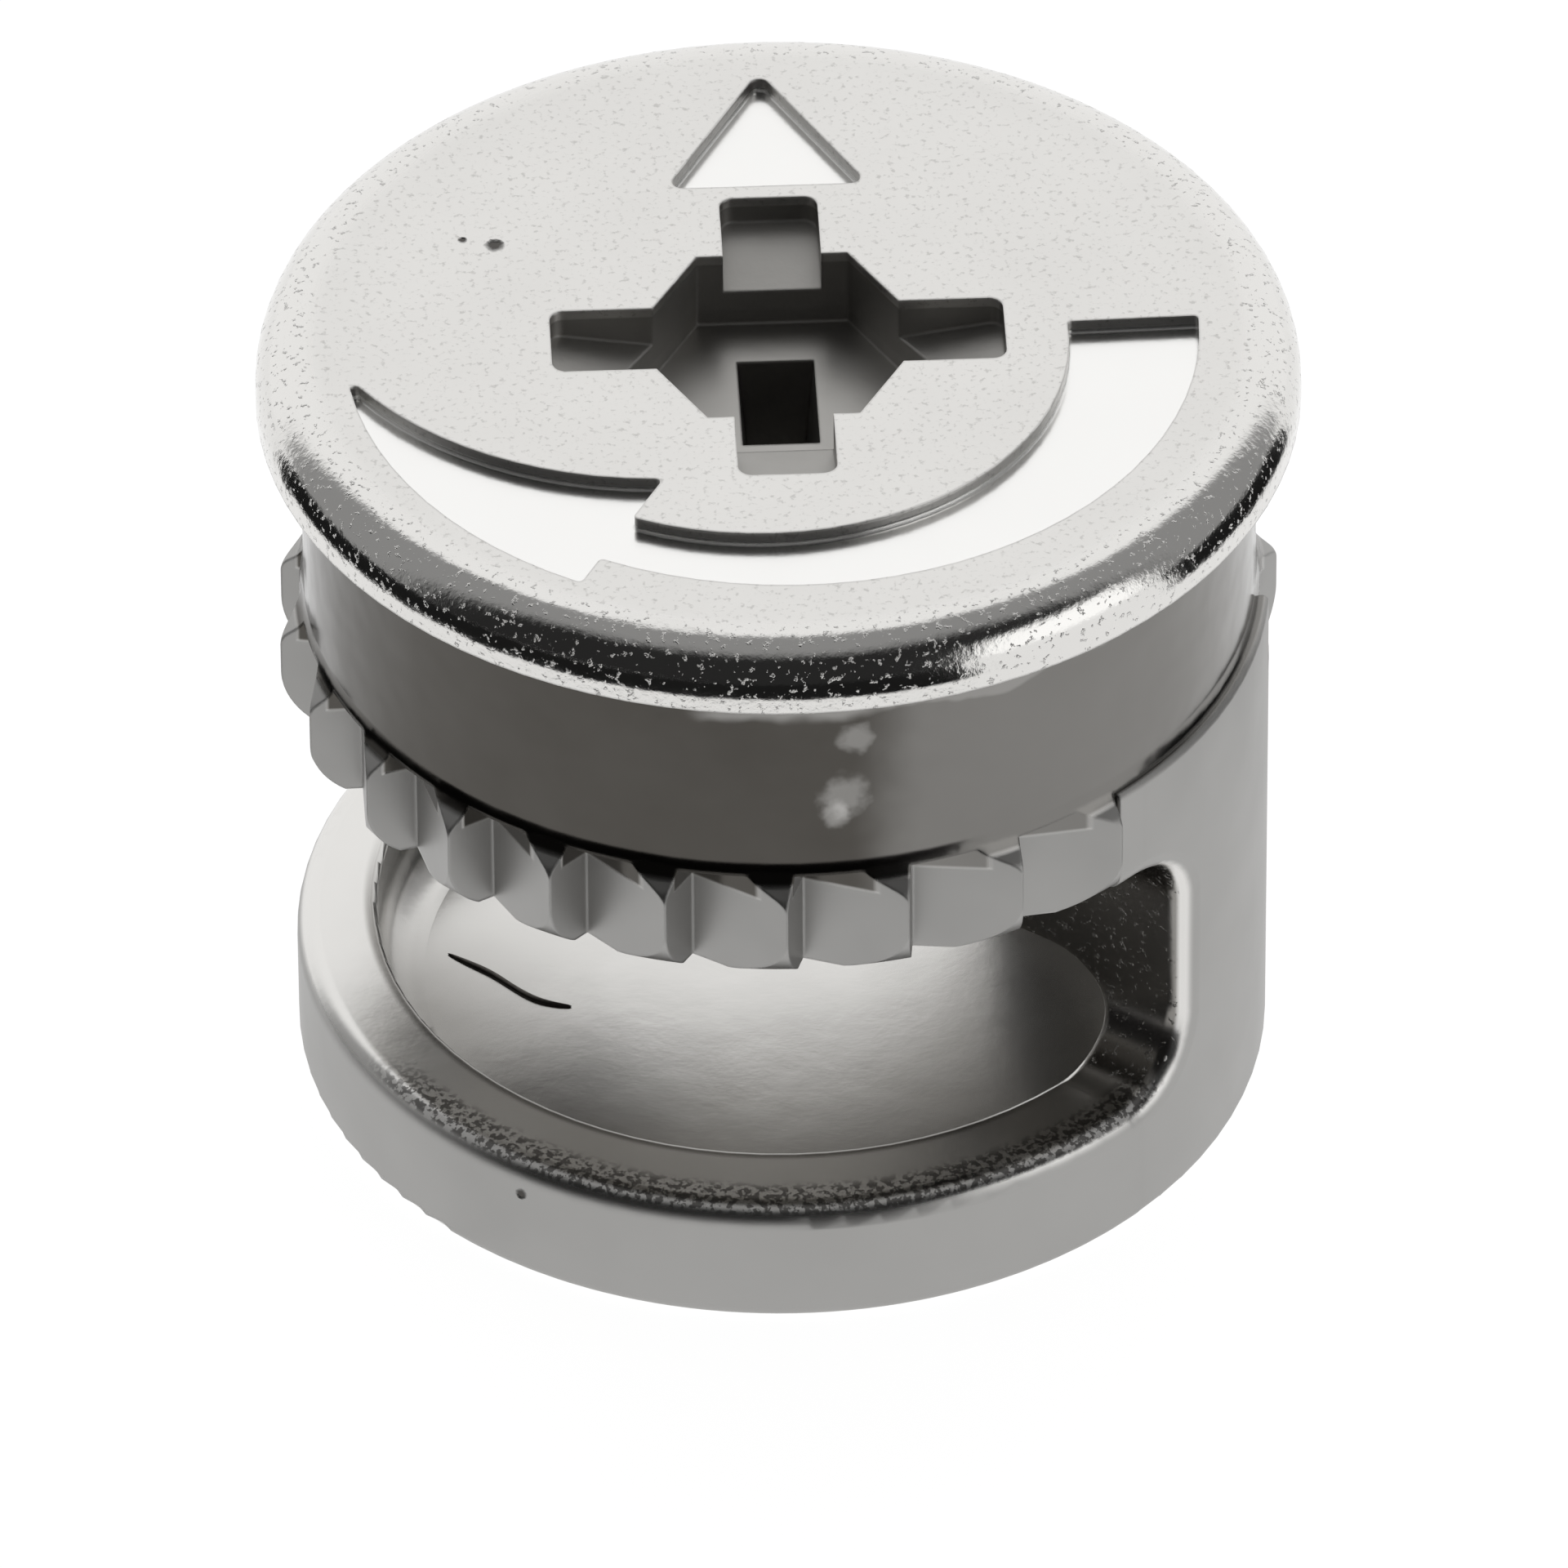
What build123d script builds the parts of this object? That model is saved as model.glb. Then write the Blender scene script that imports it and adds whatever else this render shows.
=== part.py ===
from build123d import *
import math
import os

# Cam lock fitting: the housing of a furniture cam connector, one zinc die casting.
# Millimetres. The origin is the middle of the base, on the turning axis. +Z is up through the cap,
# and +Y points to the connecting bolt, the way that the triangle on the cap points.
# Angles are in degrees, seen from above, anticlockwise from +X.

# Heights, from the base up
channel_floor = 2.1
channel_height = 4.55
ring_height = 1.55
ring_slope_height = 0.35
neck_height = 3.6
cap_thickness = 1.05

# Diameters, and how far inside them the surfaces that follow them lie
body_diameter = 15.0
tooth_tip_diameter = 15.4
tooth_height = 0.75
tooth_foot_inset = 0.5
neck_foot_inset = 0.4
cap_diameter = 15.9
rim_overhang = 0.7

# Rounded edges
cap_edge_radius = 0.78
neck_top_radius = 0.3
neck_foot_radius = 0.5
base_bottom_radius = 0.2
channel_edge_radius = 0.35
wall_edge_radius = 0.1
track_edge_radius = 0.12

# Sawtooth ring: teeth from the first one round to the last, and the smooth side wall between them
teeth_per_turn = 26
tooth_count = 23
last_tooth_angle = -50.2
steep_face_angle = 2.0
tooth_taper_height = 0.9
tooth_edge_radius = 0.3
shoulder_height = 0.45

# Side wall: it joins the base to the neck, from the end of the channel to the bolt's port. Behind
# the channel's end it thickens to a web that reaches inwards
port_angle = 90.0
channel_end_angle = -36.8
channel_end_radius = 1.25

# Bolt that the housing takes
bolt_head_diameter = 6.8
bolt_head_clearance = 0.15
web_clearance = 0.35

# Head pocket: the eccentric track that the bolt's head slides round in. It leaves a ledge on the
# base, and a wall behind the tooth roots under the neck
ledge_width = 1.0
neck_wall = 0.45
pocket_offset = 0.25
pocket_floor = 0.6
pocket_floor_corner = 0.7
pocket_roof_under_wall = 3.55
pocket_roof_corner = 1.2

# Drive recess
slot_length = 6.9
slot_width = 1.5
slot_corner_radius = 0.22
slot_end_depth = 0.45
slot_middle_depth = 1.0
hexagon_across_flats = 4.0
hexagon_depth = 1.3
bit_pocket_width = 1.4
bit_pocket_length = 2.3
bit_pocket_depth = 3.6
bit_pocket_draft = 5.0

# Marks sunk into the cap
mark_depth = 0.22
mark_corner_radius = 0.16
pointer_base_place = 3.75
pointer_length = 2.9
pointer_half_width = 1.55
arrow_tail_angle = 1.3
arrow_barb_angle = -118.5
arrow_tip_angle = -174.0
arrow_barb_outer_radius = 6.75
arrow_outer_barb = 0.65
arrow_neck_width = 1.1
arrow_inner_barb = 1.05
arrow_tip_inset = 0.15
arrow_tail_flare = 0.3
arrow_tail_width = 2.0
arrow_head_hollow = 0.125

# Levels and sizes that follow from the ones above
channel_roof = channel_floor + channel_height
ring_top = channel_roof + ring_height
neck_foot = ring_top + ring_slope_height
neck_top = neck_foot + neck_height
total_height = neck_top + cap_thickness
bolt_height = channel_floor + channel_height / 2
port_radius = bolt_head_diameter / 2 + bolt_head_clearance
web_inner_radius = port_radius + web_clearance
head_roof = bolt_height + port_radius
body_radius = body_diameter / 2
tooth_root_diameter = tooth_tip_diameter - 2 * tooth_height
tooth_foot_diameter = tooth_tip_diameter - 2 * tooth_foot_inset
neck_foot_diameter = tooth_tip_diameter - 2 * neck_foot_inset
neck_top_diameter = cap_diameter - 2 * rim_overhang
pocket_radius = min(body_radius - ledge_width, tooth_root_diameter / 2 - neck_wall) - pocket_offset
arrow_neck_outer_radius = arrow_barb_outer_radius - arrow_outer_barb
arrow_neck_inner_radius = arrow_neck_outer_radius - arrow_neck_width
arrow_barb_inner_radius = arrow_neck_inner_radius - arrow_inner_barb
arrow_tip_radius = arrow_barb_outer_radius - arrow_tip_inset
arrow_tail_outer_radius = arrow_neck_outer_radius + arrow_tail_flare
arrow_tail_inner_radius = arrow_tail_outer_radius - arrow_tail_width
arrow_head_inner_radius = (arrow_barb_inner_radius + arrow_tip_radius) / 2 - arrow_head_hollow
reach = cap_diameter
tooth_pitch = 360 / teeth_per_turn
first_root_angle = last_tooth_angle - tooth_count * tooth_pitch + steep_face_angle + 360
wall_start_angle = last_tooth_angle + steep_face_angle / 2
level_tolerance = 0.001


def polar(radius, angle, height=0.0):
    """Point at a radius and an angle about the turning axis."""
    turn = math.radians(angle)
    return (radius * math.cos(turn), radius * math.sin(turn), height)


def rings_at(solid, height):
    """Circular edges of a solid that lie flat at one height, the smallest first."""
    circles = solid.edges().filter_by(GeomType.CIRCLE)
    level = circles.filter_by_position(Axis.Z, height - level_tolerance, height + level_tolerance)
    return level.sort_by(SortBy.RADIUS)


def ring_outline():
    """Outline of the toothed ring: sawteeth that rise anticlockwise, then an arc inside the side wall."""
    corners = []
    for number in range(tooth_count):
        tip_angle = last_tooth_angle - (tooth_count - 1 - number) * tooth_pitch
        root_angle = tip_angle - tooth_pitch + steep_face_angle
        corners.append(polar(tooth_root_diameter / 2, root_angle))
        corners.append(polar(tooth_tip_diameter / 2, tip_angle))
    wall_radius = body_radius - 2 * wall_edge_radius
    wall_start = polar(wall_radius, wall_start_angle)
    wall_end = polar(wall_radius, first_root_angle)
    wall_middle = polar(wall_radius, (wall_start_angle + first_root_angle) / 2)
    teeth = Polyline(*corners, wall_start)
    wall = ThreePointArc(wall_start, wall_middle, wall_end)
    closing = Line(wall_end, corners[0])
    return make_face(teeth.edges() + wall.edges() + closing.edges())


def ring_neck_and_cap():
    """Ring rounded in towards its foot, its top sloping up to the neck, and cap with a round rim."""
    foot_point = (tooth_foot_diameter / 2, 0, channel_roof)
    tip = tooth_tip_diameter / 2
    rim = cap_diameter / 2
    taper_top = (tip, 0, channel_roof + tooth_taper_height)
    taper = TangentArc(taper_top, foot_point, tangent=(0, 0, -1))
    outline = Polyline(foot_point, (0, 0, channel_roof), (0, 0, total_height), (rim, 0, total_height),
                       (rim, 0, neck_top), (neck_top_diameter / 2, 0, neck_top),
                       (neck_foot_diameter / 2, 0, neck_foot), (tip, 0, ring_top), taper_top)
    body = revolve(make_face(outline.edges() + taper.edges()), axis=Axis.Z)
    body = fillet(rings_at(body, total_height), cap_edge_radius)
    body = fillet(rings_at(body, neck_top)[0], neck_top_radius)
    body = fillet(rings_at(body, ring_top)[-1], tooth_edge_radius)
    return fillet(rings_at(body, neck_foot)[0], neck_foot_radius)


def upper_body():
    """Ring, neck and cap, with the gaps between the teeth cut up to the neck's foot."""
    teeth = Pos(0, 0, channel_roof) * extrude(ring_outline(), amount=neck_foot - channel_roof)
    above = Pos(0, 0, neck_foot) * extrude(Circle(reach), amount=total_height - neck_foot)
    return ring_neck_and_cap() & (teeth + above)


def side_wall_wedge(setback):
    """Space of the side wall, from the channel's end, moved back by setback, round to the port."""
    start = polar(setback, channel_end_angle - 90)
    along = polar(reach, channel_end_angle)
    corner = (start[0] + along[0], start[1] + along[1])
    plan = Polygon((start[0], start[1]), corner, (reach, reach), (0, reach), align=None)
    return extrude(plan, amount=total_height)


def channel():
    """Open channel round the housing for the bolt's neck, with its rounded end at the side wall."""
    disc = Pos(0, 0, channel_floor) * extrude(Circle(reach), amount=channel_height)
    open_side = disc - side_wall_wedge(channel_end_radius)
    end_plane = Plane(origin=(0, 0, bolt_height), x_dir=polar(1, channel_end_angle + 90),
                      z_dir=polar(1, channel_end_angle))
    end_length = 3 * channel_end_radius
    end_shape = Pos(-end_length / 2, 0) * Rectangle(end_length, channel_height)
    end_corners = end_shape.vertices().group_by(Axis.X)[-1]
    end_shape = fillet(end_corners, channel_end_radius)
    return open_side + extrude(end_plane * end_shape, amount=reach)


def head_track(roof):
    """Round space with rounded corners, from the pocket's floor to a roof height."""
    drum = Pos(0, pocket_offset, pocket_floor) * extrude(Circle(pocket_radius), amount=roof - pocket_floor)
    drum = fillet(rings_at(drum, pocket_floor), pocket_floor_corner)
    return fillet(rings_at(drum, roof), pocket_roof_corner)


def head_pocket():
    """Eccentric pocket for the bolt's head: low under the side wall's web, high everywhere else."""
    web = side_wall_wedge(channel_end_radius) - extrude(Circle(web_inner_radius), amount=total_height)
    return head_track(pocket_roof_under_wall) + (head_track(head_roof) - web)


def bolt_port():
    """Round port that the bolt's head enters by, from the back to the turning axis."""
    bore = extrude(Circle(port_radius), amount=reach)
    return Pos(0, 0, bolt_height) * Rot(-90, 0, 0) * bore


def slot_arm_pair():
    """One straight slot of the drive recess, along X, its floor sloping down to the middle."""
    half = slot_length / 2
    side = Polygon((-half, 0), (-half, -slot_end_depth), (0, -slot_middle_depth),
                   (half, -slot_end_depth), (half, 0), align=None)
    bar = extrude(Plane.XZ * side, amount=slot_width / 2, both=True)
    ends = bar.edges().filter_by(Axis.Z).group_by(Axis.X)
    return fillet(ends[0] + ends[-1], slot_corner_radius)


def drive_recess():
    """Hexagon socket, crossed slots and a deep middle pocket for a driver bit."""
    hexagon = RegularPolygon(hexagon_across_flats / 2, 6, major_radius=False)
    recess = extrude(hexagon, amount=-hexagon_depth)
    recess += slot_arm_pair()
    recess += Rot(0, 0, 90) * slot_arm_pair()
    bit_pocket = Rectangle(bit_pocket_width, bit_pocket_length)
    recess += extrude(bit_pocket, amount=-bit_pocket_depth, taper=bit_pocket_draft)
    return Pos(0, 0, total_height) * recess


def pointer_outline():
    """Rounded triangle that points to the bolt."""
    base = pointer_base_place
    triangle = Polygon((-pointer_half_width, base), (pointer_half_width, base),
                       (0, base + pointer_length), align=None)
    return fillet(triangle.vertices(), mark_corner_radius)


def arrow_outline():
    """Curved arrow that shows which way to turn: a band that narrows to a barbed head."""
    middle_angle = (arrow_tail_angle + arrow_barb_angle) / 2
    tail_inner = polar(arrow_tail_inner_radius, arrow_tail_angle)
    tail_outer = polar(arrow_tail_outer_radius, arrow_tail_angle)
    neck_inner = polar(arrow_neck_inner_radius, arrow_barb_angle)
    neck_outer = polar(arrow_neck_outer_radius, arrow_barb_angle)
    barb_inner = polar(arrow_barb_inner_radius, arrow_barb_angle)
    barb_outer = polar(arrow_barb_outer_radius, arrow_barb_angle)
    tip = polar(arrow_tip_radius, arrow_tip_angle)
    inner_middle = polar((arrow_tail_inner_radius + arrow_neck_inner_radius) / 2, middle_angle)
    outer_middle = polar((arrow_tail_outer_radius + arrow_neck_outer_radius) / 2, middle_angle)
    head_middle = polar((arrow_barb_outer_radius + arrow_tip_radius) / 2,
                        (arrow_barb_angle + arrow_tip_angle) / 2)
    head_inner_middle = polar(arrow_head_inner_radius, (arrow_barb_angle + arrow_tip_angle) / 2)
    edges = [ThreePointArc(tail_inner, inner_middle, neck_inner), Line(neck_inner, barb_inner),
             ThreePointArc(barb_inner, head_inner_middle, tip),
             ThreePointArc(tip, head_middle, barb_outer), Line(barb_outer, neck_outer),
             ThreePointArc(neck_outer, outer_middle, tail_outer), Line(tail_outer, tail_inner)]
    outline = make_face([edge.edge() for edge in edges])
    return fillet(outline.vertices(), mark_corner_radius / 2)


def sunk_marks():
    """Pointer and turning arrow, cut a little way into the cap."""
    marks = extrude(pointer_outline(), amount=-mark_depth) + extrude(arrow_outline(), amount=-mark_depth)
    return Pos(0, 0, total_height) * marks


def sector(start_angle, end_angle, top):
    """Block that spans an angle of the side wall, up to a top."""
    middle_angle = (start_angle + end_angle) / 2
    plan = Polygon((0, 0), polar(reach, start_angle), polar(2 * reach, middle_angle),
                   polar(reach, end_angle), align=None)
    return extrude(plan, amount=top)


def lower_body():
    """Base and side wall: a drum with the channel and pocket cut in it, cut back to what stays."""
    drum = extrude(Circle(body_radius), amount=neck_foot)
    drum = fillet(rings_at(drum, neck_foot), wall_edge_radius)
    drum = fillet(rings_at(drum, 0), base_bottom_radius)
    drum -= channel()
    drum = fillet(rings_at(drum, channel_floor)[-1], channel_edge_radius)
    drum -= head_pocket()
    drum = fillet(rings_at(drum, channel_floor)[0], track_edge_radius)
    base = extrude(Circle(reach), amount=channel_roof)
    smooth_wall = sector(wall_start_angle, first_root_angle, neck_foot)
    shoulder = sector(wall_start_angle, port_angle, channel_roof + shoulder_height)
    return drum & (base + smooth_wall + shoulder)


def cam_housing():
    """The whole casting."""
    upper = upper_body() - channel() - head_pocket()
    housing = lower_body() + upper - bolt_port()
    return housing - drive_recess() - sunk_marks()


os.makedirs("parts", exist_ok=True)
housing = cam_housing()
export_step(housing, "parts/cam_housing.step")
print("volume", round(housing.volume, 1), "solids", len(housing.solids()), "box", housing.bounding_box())
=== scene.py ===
"""Looks of the cam lock fitting: nickel plating, casting marks, studio stage and camera."""
import math
from types import SimpleNamespace

import bpy
from mathutils import Matrix, Vector


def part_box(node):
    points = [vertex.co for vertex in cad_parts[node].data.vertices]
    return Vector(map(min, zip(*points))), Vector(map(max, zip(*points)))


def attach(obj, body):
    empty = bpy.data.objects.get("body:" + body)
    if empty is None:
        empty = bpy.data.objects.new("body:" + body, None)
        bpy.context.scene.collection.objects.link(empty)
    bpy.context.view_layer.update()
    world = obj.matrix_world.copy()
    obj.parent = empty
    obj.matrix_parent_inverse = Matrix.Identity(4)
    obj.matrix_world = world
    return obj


bl_info = {
    "name": "Cam Lock Fitting Looks",
    "version": (1, 0, 0),
    "blender": (4, 5, 0),
    "location": "3D View > Sidebar > Cam Lock",
    "description": "Plates the cam lock housing and sets up its studio stage",
    "category": "Object",
}

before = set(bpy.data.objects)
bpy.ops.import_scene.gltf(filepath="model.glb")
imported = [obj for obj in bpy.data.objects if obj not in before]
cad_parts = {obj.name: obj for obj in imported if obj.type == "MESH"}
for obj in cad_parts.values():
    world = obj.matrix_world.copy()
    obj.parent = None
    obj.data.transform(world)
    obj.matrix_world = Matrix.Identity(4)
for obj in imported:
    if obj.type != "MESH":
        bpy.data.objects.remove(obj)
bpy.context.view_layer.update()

HOUSING = "cam_housing"
BODY = "root"
MILLIMETRE = 0.001
_, housing_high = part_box(HOUSING)


class HousingSizes(bpy.types.PropertyGroup):
    """Heights and radii where one finish of the housing meets the next."""

    total_height: bpy.props.FloatProperty(
        name="Total Height", description="Height of the cap's flat top above the base",
        default=housing_high.z, subtype="DISTANCE", unit="LENGTH", precision=5)
    cap_radius: bpy.props.FloatProperty(
        name="Cap Radius", description="Radius of the rim",
        default=housing_high.x, subtype="DISTANCE", unit="LENGTH", precision=5)
    rim_rounding: bpy.props.FloatProperty(
        name="Rim Rounding", description="Radius of the rounded edge of the cap",
        default=0.00078, subtype="DISTANCE", unit="LENGTH", precision=5)
    cap_underside: bpy.props.FloatProperty(
        name="Cap Underside", description="Height of the underside of the cap",
        default=0.01215, subtype="DISTANCE", unit="LENGTH", precision=5)
    mark_depth: bpy.props.FloatProperty(
        name="Mark Depth", description="How deep the pointer and the arrow are sunk",
        default=0.00022, subtype="DISTANCE", unit="LENGTH", precision=5)
    recess_radius: bpy.props.FloatProperty(
        name="Recess Radius", description="Radius that the crossed slots reach to",
        default=0.00352, subtype="DISTANCE", unit="LENGTH", precision=5)
    recess_bottom: bpy.props.FloatProperty(
        name="Recess Bottom", description="Height just under the floor of the driver bit's pocket",
        default=0.0094, subtype="DISTANCE", unit="LENGTH", precision=5)
    ring_top: bpy.props.FloatProperty(
        name="Ring Top", description="Height of the top of the toothed ring",
        default=0.0082, subtype="DISTANCE", unit="LENGTH", precision=5)
    ring_foot: bpy.props.FloatProperty(
        name="Ring Foot", description="Height of the bottom of the toothed ring",
        default=0.00665, subtype="DISTANCE", unit="LENGTH", precision=5)
    tooth_root_radius: bpy.props.FloatProperty(
        name="Tooth Root Radius", description="Radius at the bottom of the gaps between teeth",
        default=0.00695, subtype="DISTANCE", unit="LENGTH", precision=5)
    body_radius: bpy.props.FloatProperty(
        name="Body Radius", description="Radius of the base and of the side wall",
        default=0.0075, subtype="DISTANCE", unit="LENGTH", precision=5)
    inside_radius: bpy.props.FloatProperty(
        name="Inside Radius", description="Radius that the sheltered inner surfaces stay within",
        default=0.0073, subtype="DISTANCE", unit="LENGTH", precision=5)
    ledge_height: bpy.props.FloatProperty(
        name="Ledge Height", description="Height of the ledge round the head pocket",
        default=0.0021, subtype="DISTANCE", unit="LENGTH", precision=5)
    pocket_roof: bpy.props.FloatProperty(
        name="Pocket Roof", description="Height of the roof of the head pocket",
        default=0.0080, subtype="DISTANCE", unit="LENGTH", precision=5)
    pocket_radius: bpy.props.FloatProperty(
        name="Pocket Radius", description="Radius of the wall of the head pocket",
        default=0.00625, subtype="DISTANCE", unit="LENGTH", precision=5)
    pocket_offset: bpy.props.FloatProperty(
        name="Pocket Offset", description="How far the pocket's middle is behind the turning axis",
        default=0.00025, subtype="DISTANCE", unit="LENGTH", precision=6)
    pocket_floor: bpy.props.FloatProperty(
        name="Pocket Floor", description="Height of the floor of the head pocket",
        default=0.0006, subtype="DISTANCE", unit="LENGTH", precision=5)


class PlatingSettings(bpy.types.PropertyGroup):
    """Colours and texture of the nickel plating and of the bare casting under it, with painted shade, sheen and
    reflection in some of the colours.
    """

    plate_color: bpy.props.FloatVectorProperty(
        name="Plate Color", description="Nickel on the polished faces",
        default=(0.72, 0.71, 0.69), subtype="COLOR", min=0.0, max=1.0)
    # Partly painted shade: the walls and teeth are coloured darker than the top, partly for their matt satin
    # finish and partly for the shade on them
    satin_and_shade_color: bpy.props.FloatVectorProperty(
        name="Satin Color", description="Matt plating of the walls and the teeth",
        default=(0.40, 0.395, 0.385), subtype="COLOR", min=0.0, max=1.0)
    # Painted shade: the neck's dark colour is partly a dull bare casting and partly the shade and dark
    # reflection under the cap, painted in
    neck_dull_and_shade_color: bpy.props.FloatVectorProperty(
        name="Neck Color", description="Bare dull casting of the neck, which the tumbling doesn't reach",
        default=(0.062, 0.057, 0.050), subtype="COLOR", min=0.0, max=1.0)
    # Painted sheen: the smooth floors of the pointer and the arrow are coloured brighter than the rest of the
    # plate
    bright_and_sheen_color: bpy.props.FloatVectorProperty(
        name="Bright Color", description="Smooth floors of the pointer and the arrow",
        default=(0.86, 0.855, 0.84), subtype="COLOR", min=0.0, max=1.0)
    # Partly painted shade: this dull colour darkens the recess, the ring's roof, the inner wall and the pocket's
    # front corner, and also colours the cap's dark grain and the flash line
    dull_and_shade_color: bpy.props.FloatVectorProperty(
        name="Dull Color", description="Thin plating in the recess and in the sheltered places",
        default=(0.15, 0.141, 0.127), subtype="COLOR", min=0.0, max=1.0)
    # Also painted dark reflection: besides the pits, this colour darkens specks on the front of the ledge's lip
    pit_and_dark_reflection_color: bpy.props.FloatVectorProperty(
        name="Pit Color", description="Inside of the small pits of the casting",
        default=(0.08, 0.075, 0.07), subtype="COLOR", min=0.0, max=1.0)
    grain_size: bpy.props.FloatProperty(
        name="Grain Size", description="Width of one grain of the tumbled surface",
        default=0.00011, subtype="DISTANCE", unit="LENGTH", precision=5)
    grain_height: bpy.props.FloatProperty(
        name="Grain Height", description="Height of the grain of the tumbled surface",
        default=0.000010, subtype="DISTANCE", unit="LENGTH", precision=6)
    speck_height: bpy.props.FloatProperty(
        name="Speck Height", description="Height of the raised specks on the rim and on the inner wall",
        default=0.000016, subtype="DISTANCE", unit="LENGTH", precision=6)
    wave_size: bpy.props.FloatProperty(
        name="Wave Size", description="Width of the slow unevenness of the casting",
        default=0.0016, subtype="DISTANCE", unit="LENGTH", precision=5)
    wave_height: bpy.props.FloatProperty(
        name="Wave Height", description="Height of the slow unevenness of the casting",
        default=0.00003, subtype="DISTANCE", unit="LENGTH", precision=6)
    edge_softness: bpy.props.FloatProperty(
        name="Edge Softness", description="Radius that plating gives to a sharp edge",
        default=0.00007, subtype="DISTANCE", unit="LENGTH", precision=6)


class FlashSettings(bpy.types.PropertyGroup):
    """The thin line of flash on the floor of the head pocket."""

    thickness: bpy.props.FloatProperty(
        name="Flash Thickness", description="Thickness of the line in its middle",
        default=0.00011, subtype="DISTANCE", unit="LENGTH", precision=6)


class StageSettings(bpy.types.PropertyGroup):
    """Floor, light and camera."""

    camera_azimuth: bpy.props.FloatProperty(
        name="Camera Azimuth", description="Turn of the camera about the housing",
        default=math.radians(-2.4), subtype="ANGLE", unit="ROTATION")
    camera_elevation: bpy.props.FloatProperty(
        name="Camera Elevation", description="Angle that the camera looks down at",
        default=math.radians(38.35), subtype="ANGLE", unit="ROTATION")
    camera_roll: bpy.props.FloatProperty(
        name="Camera Roll", description="Tilt of the picture",
        default=math.radians(0.35), subtype="ANGLE", unit="ROTATION")
    camera_distance: bpy.props.FloatProperty(
        name="Camera Distance", description="From the middle of the housing to the camera",
        default=0.35, subtype="DISTANCE", unit="LENGTH")
    field_width: bpy.props.FloatProperty(
        name="Field Width", description="Width of the picture at the housing",
        default=0.02408, subtype="DISTANCE", unit="LENGTH", precision=5)
    aim_drop: bpy.props.FloatProperty(
        name="Aim Drop", description="How far below the middle of the housing the camera aims",
        default=0.001664, subtype="DISTANCE", unit="LENGTH", precision=6)
    aim_right: bpy.props.FloatProperty(
        name="Aim Right", description="How far right of the axis the camera aims",
        default=0.00005, subtype="DISTANCE", unit="LENGTH", precision=6)
    floor_size: bpy.props.FloatProperty(
        name="Floor Size", description="Width of the floor",
        default=2.0, subtype="DISTANCE", unit="LENGTH")
    floor_gap: bpy.props.FloatProperty(
        name="Floor Gap", description="Gap that keeps the floor out of the plane of the base's underside",
        default=0.00002, subtype="DISTANCE", unit="LENGTH", precision=6)
    floor_color: bpy.props.FloatVectorProperty(
        name="Floor Color", description="Pale paper under the housing",
        default=(0.86, 0.86, 0.86), subtype="COLOR", min=0.0, max=1.0)
    floor_glow: bpy.props.FloatProperty(
        name="Floor Glow", description="Share of the floor that shows as white background",
        default=0.8, min=0.0, max=1.0)
    background_white: bpy.props.FloatProperty(
        name="Background White", description="Level at which the glowing share brings the floor to white",
        default=1.2, min=0.0)
    cloth_start: bpy.props.FloatProperty(
        name="Cloth Start", description="How far from the axis the dark cloth starts",
        default=0.0255, subtype="DISTANCE", unit="LENGTH", precision=5)
    cloth_color: bpy.props.FloatVectorProperty(
        name="Cloth Color", description="Dark cloth that the rim reflects",
        default=(0.03, 0.03, 0.03), subtype="COLOR", min=0.0, max=1.0)
    cloth_half_angle: bpy.props.FloatProperty(
        name="Cloth Half Angle", description="How far round from the front the cloth reaches",
        default=math.radians(120), subtype="ANGLE", unit="ROTATION")
    gap_start: bpy.props.FloatProperty(
        name="Gap Start", description="Where the cloth stops for the low card, from the front to the right",
        default=math.radians(33), subtype="ANGLE", unit="ROTATION")
    gap_end: bpy.props.FloatProperty(
        name="Gap End", description="Where the cloth goes on behind the low card",
        default=math.radians(77), subtype="ANGLE", unit="ROTATION")
    card_strength: bpy.props.FloatProperty(
        name="Card Strength", description="Brightness of the low white card at the front right",
        default=1.35, min=0.0)
    tent_strength: bpy.props.FloatProperty(
        name="Tent Strength", description="Brightness of the back of the tent",
        default=1.08, min=0.0)
    tent_side: bpy.props.FloatProperty(
        name="Tent Side", description="Brightness of the tent's top and sides",
        default=0.32, min=0.0)
    tent_opening: bpy.props.FloatProperty(
        name="Tent Opening", description="Brightness of the opening in front, where the camera stands",
        default=0.025, min=0.0)


def settings(context):
    """The four groups of settings kept on the scene."""
    scene = context.scene
    return scene.housing_sizes, scene.plating, scene.flash, scene.stage_settings


class Value:
    """A node's output socket that Python expressions can add, subtract and multiply."""

    def __init__(self, graph, socket):
        self.graph = graph
        self.socket = socket

    def _math(self, operation, first, second):
        node = self.graph.node("ShaderNodeMath", {"operation": operation}, {0: first, 1: second})
        return Value(self.graph, node.outputs[0])

    def __add__(self, other):
        return self._math("ADD", self, other)

    def __sub__(self, other):
        return self._math("SUBTRACT", self, other)

    def __rsub__(self, other):
        return self._math("SUBTRACT", other, self)

    def __mul__(self, other):
        return self._math("MULTIPLY", self, other)

    def __abs__(self):
        return self._math("ABSOLUTE", self, 0.0)

    def or_more(self, other):
        """The larger of two values."""
        return self._math("MAXIMUM", self, other)

    __radd__ = __add__
    __rmul__ = __mul__


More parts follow.
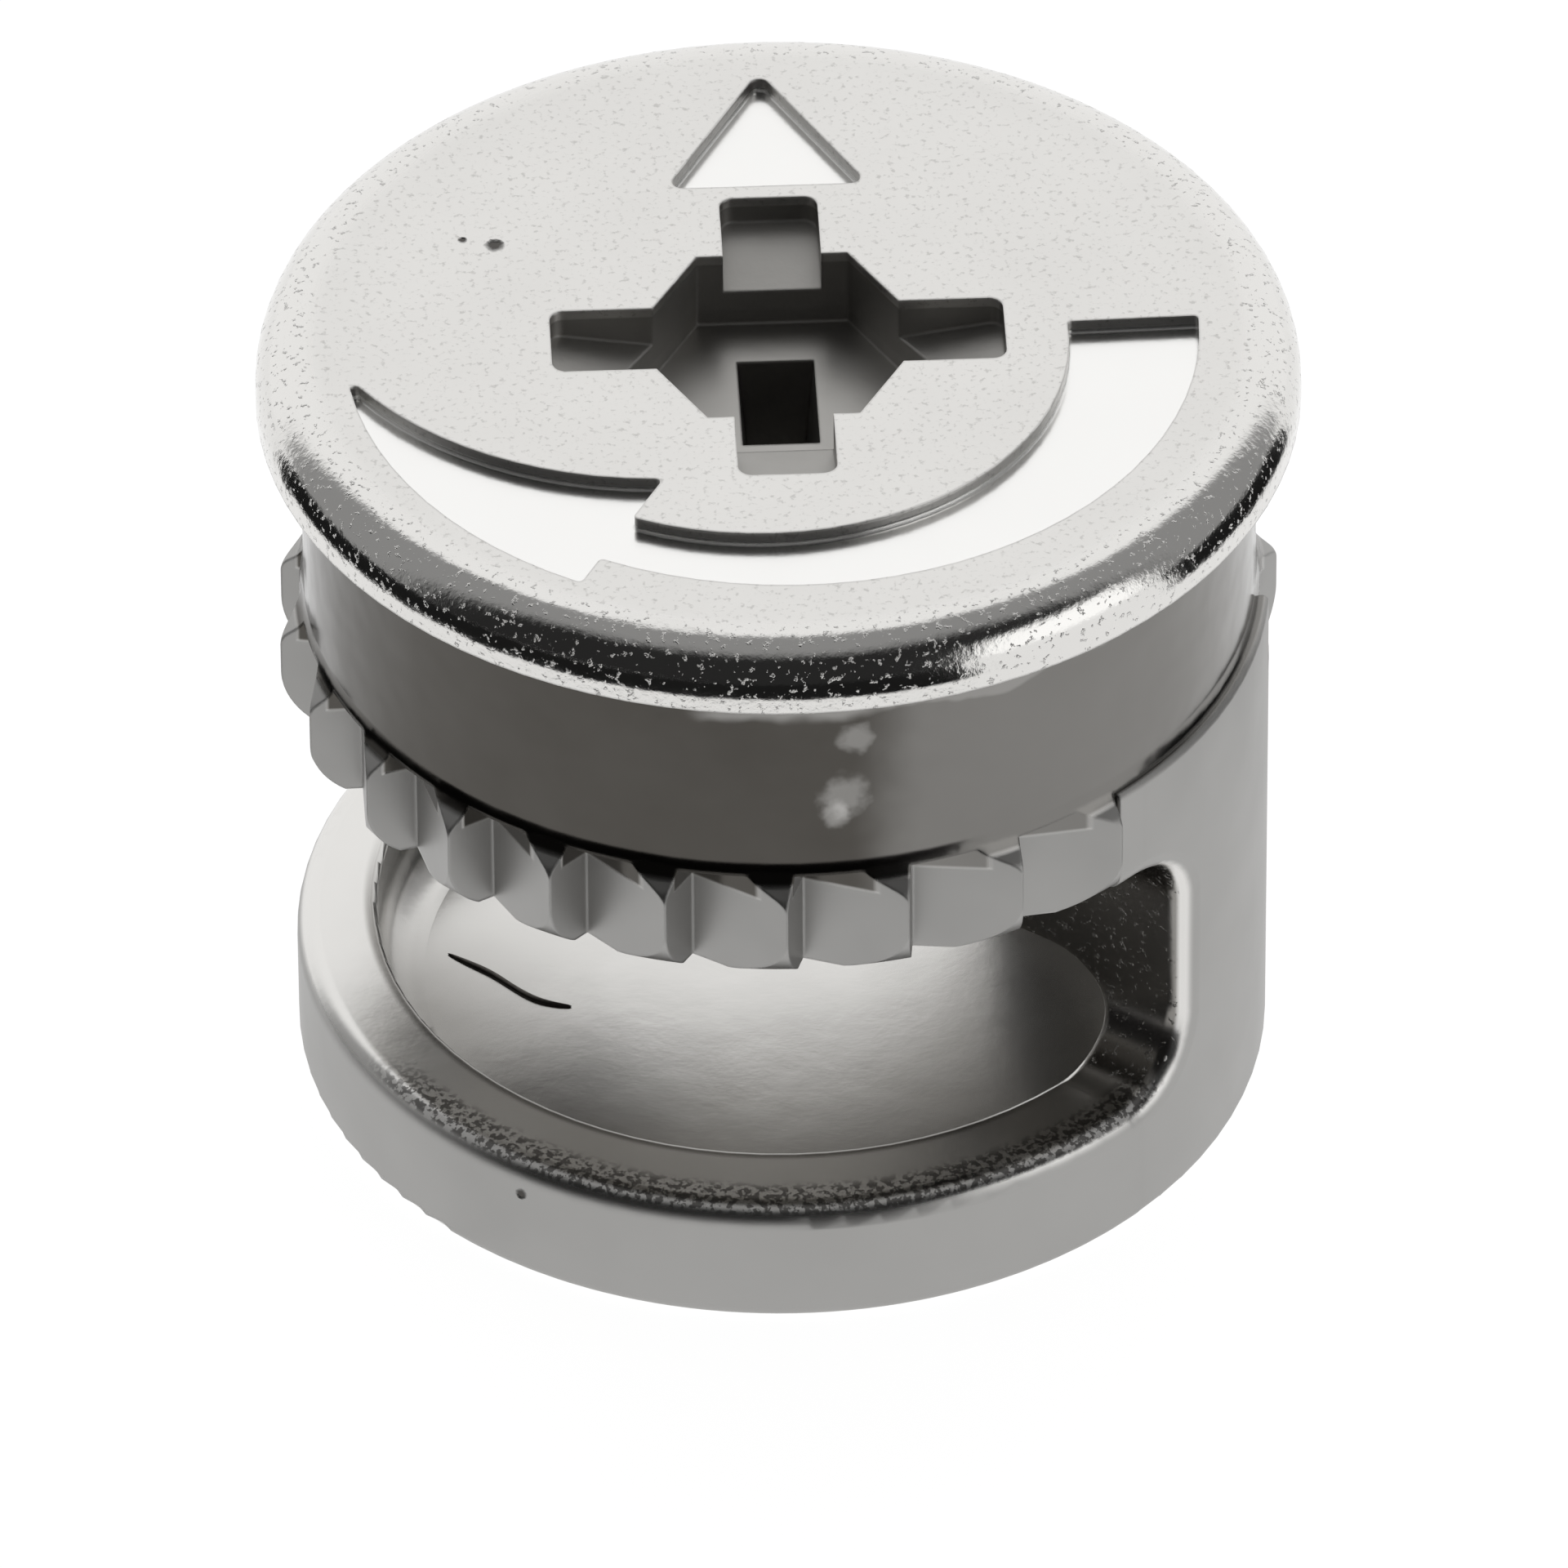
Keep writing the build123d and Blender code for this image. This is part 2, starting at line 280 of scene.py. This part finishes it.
class Graph:
    """Builds the nodes of one material or world."""

    def __init__(self, owner):
        owner.use_nodes = True
        self.tree = owner.node_tree
        self.tree.nodes.clear()

    def node(self, kind, choices=None, inputs=None):
        """Add a node, set its choices, then give its sockets values or links."""
        node = self.tree.nodes.new(kind)
        for name, choice in (choices or {}).items():
            setattr(node, name, choice)
        for name, value in (inputs or {}).items():
            if isinstance(value, Value):
                self.tree.links.new(value.socket, node.inputs[name])
            else:
                node.inputs[name].default_value = value
        return node

    def output(self, kind, name, choices=None, inputs=None):
        """Add a node and return one of its outputs as a Value."""
        return Value(self, self.node(kind, choices, inputs).outputs[name])

    def smooth(self, value, low, high):
        """0 below low, 1 above high, with a soft step between them."""
        return self.output("ShaderNodeMapRange", 0, {"interpolation_type": "SMOOTHSTEP"},
                           {"Value": value, "From Min": low, "From Max": high})

    def blend(self, share, first, second):
        """Mix of two colours, which a Mix node takes at its sockets 6 and 7 and gives at 2."""
        first, second = (
            color if isinstance(color, Value) else (*color, 1.0) for color in (first, second))
        return self.output("ShaderNodeMix", 2, {"data_type": "RGBA"}, {0: share, 6: first, 7: second})

    def noise(self, place, size, detail, roughness):
        """Noise whose features are about as wide as size."""
        return self.output("ShaderNodeTexNoise", "Fac", {"noise_dimensions": "3D"},
                           {"Vector": place, "Scale": 1 / size, "Detail": detail, "Roughness": roughness})


# Painted highlights on the neck, where the plate colour shows through its dark colour: a point of the surface,
# and the spot's radius
PAINTED_HIGHLIGHT_SPOTS = (
    ((0.00067, -0.00723, 0.01000), 0.00050),
    ((0.00086, -0.00721, 0.01108), 0.00036),
    ((0.00052, -0.00725, 0.00965), 0.00030),
)

# Small pits of the casting: a point of the surface, and the pit's radius
CASTING_PITS = (
    ((-0.00421, 0.00246, 0.0132), 0.00017),
    ((-0.00470, 0.00262, 0.0132), 0.00008),
    ((-0.00427, -0.00617, 0.00155), 0.00011),
)

# How softly one finish meets the next, and how far a finish keeps from an edge or runs past it
SOFT_STEP = 0.04 * MILLIMETRE
RIM_STEP = 0.25 * MILLIMETRE
EDGE_MARGIN = 0.10 * MILLIMETRE
WALL_MARGIN = 0.06 * MILLIMETRE

# Soft edges of single finishes and of painted shade, sheen and reflection, each from where the change begins to
# where it is complete
# Edges of the painted reflection band and of the painted sheen on the neck's right side
BAND_DEPTHS = (0.9 * MILLIMETRE, 0.7 * MILLIMETRE)
BAND_LEFT_EDGE = (-1.8 * MILLIMETRE, -1.2 * MILLIMETRE)
SHEEN_SIDE_EDGE = (0.6 * MILLIMETRE, 1.8 * MILLIMETRE)
# Edges of the painted shade in the front corner of the head pocket
CORNER_BACK_EDGE = (-1.0 * MILLIMETRE, 3.0 * MILLIMETRE)
CORNER_RIGHT_EDGE = (2.5 * MILLIMETRE, 4.0 * MILLIMETRE)
# Where the painted dark reflection on the front of the ledge's lip lies
SPECKLED_LIP_BACK_EDGE = (-4.4 * MILLIMETRE, -3.2 * MILLIMETRE)
SPECKLED_LIP_WIDTH = 0.65 * MILLIMETRE
SPECKLED_LIP_HEIGHT = 0.15 * MILLIMETRE

# How much painted sheen lightens the dark neck: a painted reflection on its right side, another in a ragged band
# under the cap, and painted highlights in spots
SIDE_SHINE = 0.17
BAND_SHINE = 0.30
SPOT_SHINE = 0.24

# Levels of the grain noise between which its specks show
DARK_GRAIN = (0.54, 0.70)
RAISED_SPECKS = (0.60, 0.70)
LIP_SPECKS = (0.46, 0.54)


class Surface:
    """The point of the housing that is being shaded, and where it lies."""

    def __init__(self, graph):
        self.graph = graph
        self.place = graph.output("ShaderNodeTexCoord", "Object")
        parts = graph.node("ShaderNodeSeparateXYZ", None, {0: self.place})
        self.x, self.y, self.z = (Value(graph, parts.outputs[i]) for i in range(3))
        self.seen_from_above = graph.output("ShaderNodeCombineXYZ", 0, None, {"X": self.x, "Y": self.y})
        self.radius = self.distance(self.seen_from_above, (0, 0, 0))

    def distance(self, vector, point):
        """How far a vector's end is from a fixed point."""
        return self.graph.output(
            "ShaderNodeVectorMath", "Value", {"operation": "DISTANCE"}, {0: vector, 1: point})

    def above(self, height, softness=SOFT_STEP):
        """1 above a height, 0 below it."""
        return self.graph.smooth(self.z, height - softness, height + softness)

    def outside(self, distance, softness=SOFT_STEP):
        """1 farther from the turning axis than a distance, 0 nearer."""
        return self.graph.smooth(self.radius, distance - softness, distance + softness)

    def spots(self, centres, unevenness):
        """1 in round spots whose outline an uneven value makes ragged."""
        total = 0.0
        for centre, size in centres:
            away = self.distance(self.place, centre) + size * unevenness
            total = total + (1 - self.graph.smooth(away, 0.4 * size, size))
        return total


def casting_noises(surface, plating):
    """Unevenness of the casting, from the finest to the coarsest."""
    graph, place = surface.graph, surface.place
    return SimpleNamespace(
        grain=graph.noise(place, plating.grain_size, 3.0, 0.6),
        coarse_grain=graph.noise(place, 2.4 * plating.grain_size, 2.0, 0.5),
        waves=graph.noise(place, plating.wave_size, 2.0, 0.5),
        stains=graph.noise(place, 2.6 * plating.wave_size, 4.0, 0.6))


def housing_regions(surface, sizes):
    """The housing's faces by their finish and by where shade and reflection are painted: each value is 1 on its
    own faces and 0 on the others.
    """
    graph, above, outside = surface.graph, surface.above, surface.outside
    flat_top_radius = sizes.cap_radius - sizes.rim_rounding
    sunk = 1 - above(sizes.total_height - sizes.mark_depth + WALL_MARGIN, SOFT_STEP / 2)
    on_cap = above(sizes.cap_underside)
    on_walls = outside(sizes.body_radius - WALL_MARGIN)
    recess = (1 - outside(sizes.recess_radius)) * sunk * above(sizes.recess_bottom)
    marks = (sunk * outside(sizes.recess_radius)
             * (1 - outside(flat_top_radius - EDGE_MARGIN)) * on_cap)
    rim = outside(flat_top_radius, RIM_STEP) * on_cap
    neck = above(sizes.ring_top) * (1 - on_cap) * outside(sizes.recess_radius) * (1 - on_walls)
    ring = (above(sizes.ring_foot) * (1 - above(sizes.ring_top))
            * outside(sizes.tooth_root_radius - EDGE_MARGIN))
    roof = ((1 - outside(sizes.tooth_root_radius - EDGE_MARGIN))
            * above(sizes.ring_foot - EDGE_MARGIN) * (1 - above(sizes.pocket_roof + EDGE_MARGIN)))
    inner_wall = ((1 - outside(sizes.inside_radius)) * above(sizes.ledge_height + EDGE_MARGIN)
                  * (1 - above(sizes.ring_foot - EDGE_MARGIN)))
    from_pocket_axis = surface.distance(surface.seen_from_above, (0, sizes.pocket_offset, 0))
    pocket = ((1 - graph.smooth(from_pocket_axis, 1.02 * sizes.pocket_radius, 1.04 * sizes.pocket_radius))
              * (1 - above(sizes.ledge_height + EDGE_MARGIN)))
    # Painted shade in the front corner of the head pocket
    pocket_corner_shade = (
        pocket * graph.smooth(from_pocket_axis, 0.40 * sizes.pocket_radius, 0.95 * sizes.pocket_radius)
        * (1 - graph.smooth(surface.y, *CORNER_BACK_EDGE))
        * (1 - 0.8 * graph.smooth(surface.x, *CORNER_RIGHT_EDGE)))
    # Painted dark reflection in specks on the front of the ledge's lip
    lip_dark_reflection = (outside(sizes.body_radius - SPECKLED_LIP_WIDTH, SPECKLED_LIP_HEIGHT)
                    * (1 - outside(sizes.body_radius - EDGE_MARGIN))
                    * above(sizes.ledge_height - SPECKLED_LIP_HEIGHT)
                    * (1 - above(sizes.ledge_height + SPECKLED_LIP_HEIGHT))
                    * (1 - graph.smooth(surface.y, *SPECKLED_LIP_BACK_EDGE)))
    return SimpleNamespace(
        recess=recess, marks=marks, rim=rim, neck=neck, roof=roof, inner_wall=inner_wall,
        pocket=pocket, pocket_corner_shade=pocket_corner_shade, lip_dark_reflection=lip_dark_reflection, on_cap=on_cap,
        satin=ring.or_more(on_walls * (1 - on_cap)))


def neck_painted_sheen(surface, noises, sizes, plating):
    """Painted sheen on the dark neck: a ragged painted reflection band under the cap, a painted reflection on
    the right side, painted highlight spots.
    """
    graph = surface.graph
    ragged = plating.wave_size * (noises.stains - 0.5)
    band_foot, band_top = (sizes.cap_underside - depth for depth in BAND_DEPTHS)
    band = (graph.smooth(surface.z + ragged, band_foot, band_top)
            * graph.smooth(surface.x, *BAND_LEFT_EDGE))
    side = graph.smooth(surface.x + ragged, *SHEEN_SIDE_EDGE)
    # Painted highlights in a few spots on the neck
    polished = surface.spots(PAINTED_HIGHLIGHT_SPOTS, 0.8 * (noises.coarse_grain - 0.5))
    return (SIDE_SHINE * side).or_more(BAND_SHINE * band).or_more(SPOT_SHINE * polished)


def plating_color(surface, regions, noises, pits, sizes, plating):
    """Nickel, with each finish and each painted shade, sheen and reflection laid over the one before."""
    graph = surface.graph
    # Painted shade in the recess, under the ring's roof, on the inner wall and in the pocket's corner, with a
    # dull plating tint
    dull = ((0.65 * regions.recess).or_more(regions.roof)
            .or_more(0.9 * regions.inner_wall).or_more(0.9 * regions.pocket_corner_shade))
    # The neck's dark colour, dull casting with painted shade, except where painted sheen lightens it
    neck_dull_and_shade_share = regions.neck * (1 - neck_painted_sheen(surface, noises, sizes, plating) - 0.06 * noises.stains)
    dark_grain = (graph.smooth(noises.grain, *DARK_GRAIN) * regions.on_cap
                  * (1 - regions.marks) * (1 - regions.recess) * (1 - regions.rim))
    # Painted dark reflection in specks on the front of the lip
    painted_lip_reflection = regions.lip_dark_reflection * graph.smooth(noises.grain, *LIP_SPECKS)
    color = graph.blend(regions.satin, plating.plate_color, plating.satin_and_shade_color)
    color = graph.blend(dull * (0.85 + 0.5 * (noises.stains - 0.5)), color, plating.dull_and_shade_color)
    color = graph.blend(neck_dull_and_shade_share, color, plating.neck_dull_and_shade_color)
    color = graph.blend(regions.marks, color, plating.bright_and_sheen_color)
    color = graph.blend(0.30 * dark_grain, color, plating.dull_and_shade_color)
    return graph.blend(pits.or_more(0.8 * painted_lip_reflection), color, plating.pit_and_dark_reflection_color)


def plating_roughness(regions, noises):
    """Roughest on the satin walls, smoothest on the rim and on the floors of the marks."""
    return (0.24 + 0.20 * regions.satin + 0.08 * regions.on_cap - 0.12 * regions.marks
            - 0.08 * regions.neck + 0.14 * regions.recess - 0.20 * regions.rim
            + 0.10 * (noises.waves - 0.5))


def plating_normal(surface, regions, noises, pits, plating):
    """Soft edges, slow waves, grain, and last the specks and pits."""
    graph = surface.graph
    grain_share = (0.10 + 0.25 * regions.on_cap * (1 - regions.marks)
                   + 0.10 * regions.rim - 0.05 * regions.neck)
    specks = graph.smooth(noises.grain, *RAISED_SPECKS) * regions.rim.or_more(regions.inner_wall)
    normal = graph.output("ShaderNodeBevel", 0, {"samples": 4},
                          {"Radius": plating.edge_softness * (1 - regions.pocket)})
    for distance, height in (
            (plating.wave_height, noises.waves * (0.3 + 0.9 * regions.neck)),
            (plating.grain_height, (noises.grain + noises.coarse_grain) * grain_share),
            (plating.speck_height, specks - 3 * pits)):
        normal = graph.output("ShaderNodeBump", 0, None,
                              {"Strength": 1.0, "Distance": distance, "Height": height, "Normal": normal})
    return normal


def plating_material(sizes, plating):
    """Nickel over a zinc casting: satin walls, grainy cap, dull plating with painted shade where the tumbling
    doesn't reach, painted sheen on the neck.
    """
    material = bpy.data.materials.new("nickel_plate_finish")
    graph = Graph(material)
    surface = Surface(graph)
    noises = casting_noises(surface, plating)
    regions = housing_regions(surface, sizes)
    pits = surface.spots(CASTING_PITS, 0.6 * (noises.grain - 0.5))
    shader = graph.output("ShaderNodeBsdfPrincipled", 0, None, {
        "Base Color": plating_color(surface, regions, noises, pits, sizes, plating),
        "Metallic": 1.0,
        "Roughness": plating_roughness(regions, noises),
        "Normal": plating_normal(surface, regions, noises, pits, plating)})
    graph.node("ShaderNodeOutputMaterial", None, {"Surface": shader})
    return material


class CAMLOCK_OT_housing(bpy.types.Operator):
    """Plate the housing that the CAD frame gives."""

    bl_idname = "camlock.housing"
    bl_label = "Plate Housing"

    def execute(self, context):
        sizes, plating, _, _ = settings(context)
        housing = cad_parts[HOUSING]
        material = plating_material(sizes, plating)
        if not housing.material_slots:
            raise RuntimeError("The housing has no material slot to plate")
        for material_slot in housing.material_slots:
            material_slot.material = material
        return {"FINISHED"}


# Pixels of the photograph, from its left and its top, that the flash line runs through
FLASH_PIXELS = ((545, 1165), (572, 1178), (600, 1190), (625, 1207), (650, 1222), (675, 1229), (700, 1232))
# Thickness of the flash line at each of those pixels, as a share of its full thickness
FLASH_TAPER = (0.35, 0.9, 1.0, 0.85, 1.0, 0.8, 0.5)
# Sides of the line before it is rounded, and how high its middle lies, as a share of its radius
FLASH_SIDES = 10
FLASH_LIFT = 0.3
# Width of the photograph in pixels, and the decimals of a metre that a point read from it is placed to
PHOTO_WIDTH = 1920
PLACE_DECIMALS = 5


def camera_axes(stage):
    """Directions to the camera, to the picture's right and to its top, before the picture is tilted."""
    azimuth, elevation = stage.camera_azimuth, stage.camera_elevation
    back = Vector((math.sin(azimuth) * math.cos(elevation),
                   -math.cos(azimuth) * math.cos(elevation), math.sin(elevation)))
    level_right = Vector((math.cos(azimuth), math.sin(azimuth), 0))
    return back, level_right, back.cross(level_right)


def point_in_photo(pixel, height, sizes, stage):
    """Where a pixel's line of sight comes down to a height. The picture's slight tilt is left out."""
    back, level_right, level_up = camera_axes(stage)
    scale = stage.field_width / PHOTO_WIDTH
    right_of_middle, below_middle = (scale * (number - PHOTO_WIDTH / 2) for number in pixel)
    middle = Vector((0, 0, sizes.total_height / 2))
    eye = middle + back * stage.camera_distance
    seen = (middle + level_right * (stage.aim_right + right_of_middle)
            - level_up * (stage.aim_drop + below_middle))
    sight = seen - eye
    point = eye + sight * (height - eye.z) / sight.z
    return Vector((round(point.x, PLACE_DECIMALS), round(point.y, PLACE_DECIMALS)))


class CAMLOCK_OT_flash(bpy.types.Operator):
    """Lay the thin line of flash that the die left on the floor of the head pocket."""

    bl_idname = "camlock.flash"
    bl_label = "Lay Flash Line"

    def execute(self, context):
        sizes, plating, flash, stage = settings(context)
        radius = flash.thickness / 2
        points = [point_in_photo(pixel, sizes.pocket_floor, sizes, stage) for pixel in FLASH_PIXELS]
        heading = math.atan2(*(points[1] - points[0]).yx)
        bpy.ops.object.select_all(action="DESELECT")
        bpy.ops.mesh.primitive_circle_add(
            vertices=FLASH_SIDES, radius=radius * FLASH_TAPER[0], fill_type="NGON",
            location=(*points[0], sizes.pocket_floor + FLASH_LIFT * radius),
            rotation=(math.pi / 2, 0, heading + math.pi / 2))
        line = context.object
        line.name = "flash_line"
        bpy.ops.object.mode_set(mode="EDIT")
        bpy.ops.mesh.select_all(action="SELECT")
        for number in range(1, len(points)):
            step = points[number] - points[number - 1]
            growth = FLASH_TAPER[number] / FLASH_TAPER[number - 1]
            bpy.ops.mesh.extrude_region_move(TRANSFORM_OT_translate={"value": (*step, 0)})
            bpy.ops.transform.resize(value=(growth, growth, growth))
        bpy.ops.mesh.select_all(action="SELECT")
        bpy.ops.mesh.normals_make_consistent(inside=False)
        bpy.ops.object.mode_set(mode="OBJECT")
        bpy.ops.object.transform_apply(location=True, rotation=True, scale=True)
        rounding = line.modifiers.new("rounding", "SUBSURF")
        rounding.levels = rounding.render_levels = 2
        bpy.ops.object.modifier_apply(modifier=rounding.name)
        bpy.ops.object.shade_smooth()
        line.data.materials.append(flash_material(plating))
        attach(line, BODY)
        return {"FINISHED"}


def flash_material(plating):
    """Dark, rough edge of metal where the two halves of the die met."""
    material = bpy.data.materials.new("flash_finish")
    graph = Graph(material)
    place = graph.output("ShaderNodeTexCoord", "Object")
    grain = graph.noise(place, plating.grain_size, 3.0, 0.6)
    color = graph.blend(grain, plating.pit_and_dark_reflection_color, plating.dull_and_shade_color)
    normal = graph.output("ShaderNodeBump", 0, None,
                          {"Strength": 1.0, "Distance": plating.grain_height, "Height": grain})
    shader = graph.output("ShaderNodeBsdfPrincipled", 0, None,
                          {"Base Color": color, "Metallic": 1.0, "Roughness": 0.3 + 0.2 * grain,
                           "Normal": normal})
    graph.node("ShaderNodeOutputMaterial", None, {"Surface": shader})
    return material


def floor_material(stage):
    """Pale paper that shows as white background, in the metal too, and still takes the housing's shadow."""
    material = bpy.data.materials.new("floor_paper")
    graph = Graph(material)
    paths = graph.node("ShaderNodeLightPath")
    shown = Value(graph, paths.outputs["Is Camera Ray"])
    for ray in ("Is Glossy Ray", "Is Transmission Ray"):
        shown = shown.or_more(Value(graph, paths.outputs[ray]))
    paper = graph.output("ShaderNodeBsdfDiffuse", 0, None, {"Color": (*stage.floor_color, 1.0)})
    white = graph.output("ShaderNodeEmission", 0, None,
                         {"Color": (1.0, 1.0, 1.0, 1.0), "Strength": stage.background_white})
    surface = graph.output("ShaderNodeMixShader", 0, None, {0: shown * stage.floor_glow, 1: paper, 2: white})
    graph.node("ShaderNodeOutputMaterial", None, {"Surface": surface})
    return material


def cloth_material(stage):
    """Matt dark cloth."""
    material = bpy.data.materials.new("dark_cloth")
    graph = Graph(material)
    surface = graph.output("ShaderNodeBsdfDiffuse", 0, None, {"Color": (*stage.cloth_color, 1.0)})
    graph.node("ShaderNodeOutputMaterial", None, {"Surface": surface})
    return material


# Soft edges of the tent's parts, in the parts of a unit vector: x to the right, y to the back, z up
BACK_WALL_EDGE = (0.0, 0.2)
CARD_LEFT_EDGE = (0.50, 0.65)
CARD_BACK_EDGE = (-0.30, -0.10)
CARD_TOP_EDGE = (0.48, 0.62)
OPENING_BACK_EDGE = (-0.30, -0.02)
OPENING_TOP_EDGE = (0.80, 0.97)


def light_tent(stage):
    """White tent, brightest at the back, with a low card and a dark opening from the front nearly to the top."""
    world = bpy.data.worlds.new("light_tent")
    graph = Graph(world)
    direction = graph.node("ShaderNodeSeparateXYZ", None,
                           {0: graph.output("ShaderNodeTexCoord", "Generated")})
    x, y, z = (Value(graph, direction.outputs[i]) for i in range(3))
    behind = graph.smooth(y - 0.25 * z - 0.5 * abs(x), *BACK_WALL_EDGE)
    card = (graph.smooth(x, *CARD_LEFT_EDGE) * (1 - graph.smooth(y, *CARD_BACK_EDGE))
            * (1 - graph.smooth(z, *CARD_TOP_EDGE)))
    opening = (1 - graph.smooth(y, *OPENING_BACK_EDGE)) * (1 - graph.smooth(z, *OPENING_TOP_EDGE))
    level = stage.tent_side - (stage.tent_side - stage.tent_opening) * opening
    level = level.or_more(stage.tent_strength * behind).or_more(stage.card_strength * card)
    background = graph.output("ShaderNodeBackground", 0, None,
                              {"Color": (1.0, 1.0, 1.0, 1.0), "Strength": level})
    graph.node("ShaderNodeOutputWorld", None, {"Surface": background})
    return world


def aim_camera(stage, middle_height):
    """Camera at the picture's angle, aimed a little below the middle of the housing."""
    back, level_right, level_up = camera_axes(stage)
    roll = stage.camera_roll
    middle = Vector((0, 0, middle_height))
    eye = middle + back * stage.camera_distance
    target = middle - level_up * stage.aim_drop + level_right * stage.aim_right
    back = (eye - target).normalized()
    level_right = Vector((0, 0, 1)).cross(back).normalized()
    level_up = back.cross(level_right)
    right = level_right * math.cos(roll) - level_up * math.sin(roll)
    up = level_up * math.cos(roll) + level_right * math.sin(roll)
    turn = Matrix((right, up, back)).transposed().to_4x4()
    turn.translation = eye
    return turn


# Steps round the whole turn that the cloth is cut from, and how high it lies on the floor
CLOTH_STEPS = 180
CLOTH_HEIGHT = 0.2 * MILLIMETRE


def lay_cloth(context, stage):
    """Lay a dark cloth on the floor outside the picture, for the rim to reflect."""
    bpy.ops.object.select_all(action="DESELECT")
    bpy.ops.mesh.primitive_circle_add(
        vertices=CLOTH_STEPS, radius=stage.cloth_start, fill_type="NOTHING",
        location=(0, 0, CLOTH_HEIGHT))
    cloth = context.object
    cloth.name = "dark_cloth"
    widening = stage.floor_size / 2 / stage.cloth_start
    bpy.ops.object.mode_set(mode="EDIT")
    bpy.ops.mesh.select_mode(type="EDGE")
    bpy.ops.mesh.select_all(action="SELECT")
    bpy.ops.mesh.extrude_edges_move()
    bpy.ops.transform.resize(value=(widening, widening, 1), center_override=(0, 0, 0))
    bpy.ops.mesh.select_mode(type="FACE")
    bpy.ops.mesh.select_all(action="DESELECT")
    bpy.ops.object.mode_set(mode="OBJECT")
    for face in cloth.data.polygons:
        heading = math.atan2(face.center.x, -face.center.y)
        face.select = stage.gap_start < heading < stage.gap_end or abs(heading) > stage.cloth_half_angle
    bpy.ops.object.mode_set(mode="EDIT")
    bpy.ops.mesh.delete(type="FACE")
    bpy.ops.object.mode_set(mode="OBJECT")
    bpy.ops.object.transform_apply(location=True, rotation=True, scale=True)
    cloth.visible_camera = False
    cloth.data.materials.append(cloth_material(stage))


class CAMLOCK_OT_stage(bpy.types.Operator):
    """Lay the floor, light it softly and set the camera."""

    bl_idname = "camlock.stage"
    bl_label = "Set Stage"

    def execute(self, context):
        sizes, _, _, stage = settings(context)
        bpy.ops.object.select_all(action="DESELECT")
        bpy.ops.mesh.primitive_plane_add(size=stage.floor_size, location=(0, 0, -stage.floor_gap))
        floor = context.object
        floor.name = "floor"
        floor.data.materials.append(floor_material(stage))
        lay_cloth(context, stage)

        context.scene.world = light_tent(stage)
        context.scene.view_settings.view_transform = "Standard"

        bpy.ops.object.camera_add()
        camera = context.object
        camera.name = "camera"
        camera.matrix_world = aim_camera(stage, sizes.total_height / 2)
        camera.data.lens = camera.data.sensor_width * stage.camera_distance / stage.field_width
        camera.data.clip_start = MILLIMETRE
        camera.data.clip_end = 2 * stage.floor_size
        context.scene.camera = camera
        return {"FINISHED"}


class CAMLOCK_PT_panel(bpy.types.Panel):
    """Buttons that dress the cam lock fitting."""

    bl_idname = "CAMLOCK_PT_panel"
    bl_label = "Cam Lock"
    bl_space_type = "VIEW_3D"
    bl_region_type = "UI"
    bl_category = "Cam Lock"

    def draw(self, context):
        for operator in OPERATORS:
            self.layout.operator(operator.bl_idname)


OPERATORS = (CAMLOCK_OT_housing, CAMLOCK_OT_flash, CAMLOCK_OT_stage)
CLASSES = (HousingSizes, PlatingSettings, FlashSettings, StageSettings, *OPERATORS, CAMLOCK_PT_panel)


def register():
    for item in CLASSES:
        bpy.utils.register_class(item)
    bpy.types.Scene.housing_sizes = bpy.props.PointerProperty(type=HousingSizes)
    bpy.types.Scene.plating = bpy.props.PointerProperty(type=PlatingSettings)
    bpy.types.Scene.flash = bpy.props.PointerProperty(type=FlashSettings)
    bpy.types.Scene.stage_settings = bpy.props.PointerProperty(type=StageSettings)


def unregister():
    del bpy.types.Scene.stage_settings
    del bpy.types.Scene.flash
    del bpy.types.Scene.plating
    del bpy.types.Scene.housing_sizes
    for item in reversed(CLASSES):
        bpy.utils.unregister_class(item)


def main():
    register()
    bpy.ops.camlock.housing()
    bpy.ops.camlock.flash()
    bpy.ops.camlock.stage()


if __name__ == "__main__":
    main()
